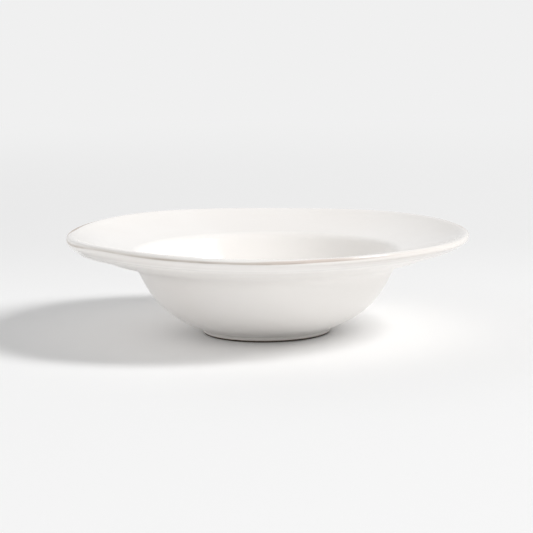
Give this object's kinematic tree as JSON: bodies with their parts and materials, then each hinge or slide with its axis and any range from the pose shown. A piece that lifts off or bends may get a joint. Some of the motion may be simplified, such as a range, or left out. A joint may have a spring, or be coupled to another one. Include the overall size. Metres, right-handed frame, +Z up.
{
  "type": "pasta bowl",
  "caption": "Wide-rimmed stoneware pasta bowl with a deep well, a hand-formed flared rim and a foot ring left bare underneath.",
  "frame": {"origin": "middle of the foot ring, on the table", "axes": "+Z up along the axis that the bowl was turned on, +X to the right and -Y towards the viewer of the picture"},
  "size_m": [0.265, 0.2686, 0.0692],
  "materials": {
    "clay": "fired tan stoneware under the glaze",
    "bare_clay": "matt bare fired stoneware",
    "inside_glaze": "glossy warm white glaze",
    "lip_glaze": "glossy glaze worn thin by the kiln over tan clay",
    "outside_glaze": "glossy warm white glaze",
    "base_glaze": "glossy warm white glaze"
  },
  "bodies": {
    "root": {"bowl_body": "clay", "foot_ring": "bare_clay", "inside_glaze": "inside_glaze", "lip_glaze": "lip_glaze", "outside_glaze": "outside_glaze", "base_glaze": "base_glaze"}
  },
  "joints": []
}
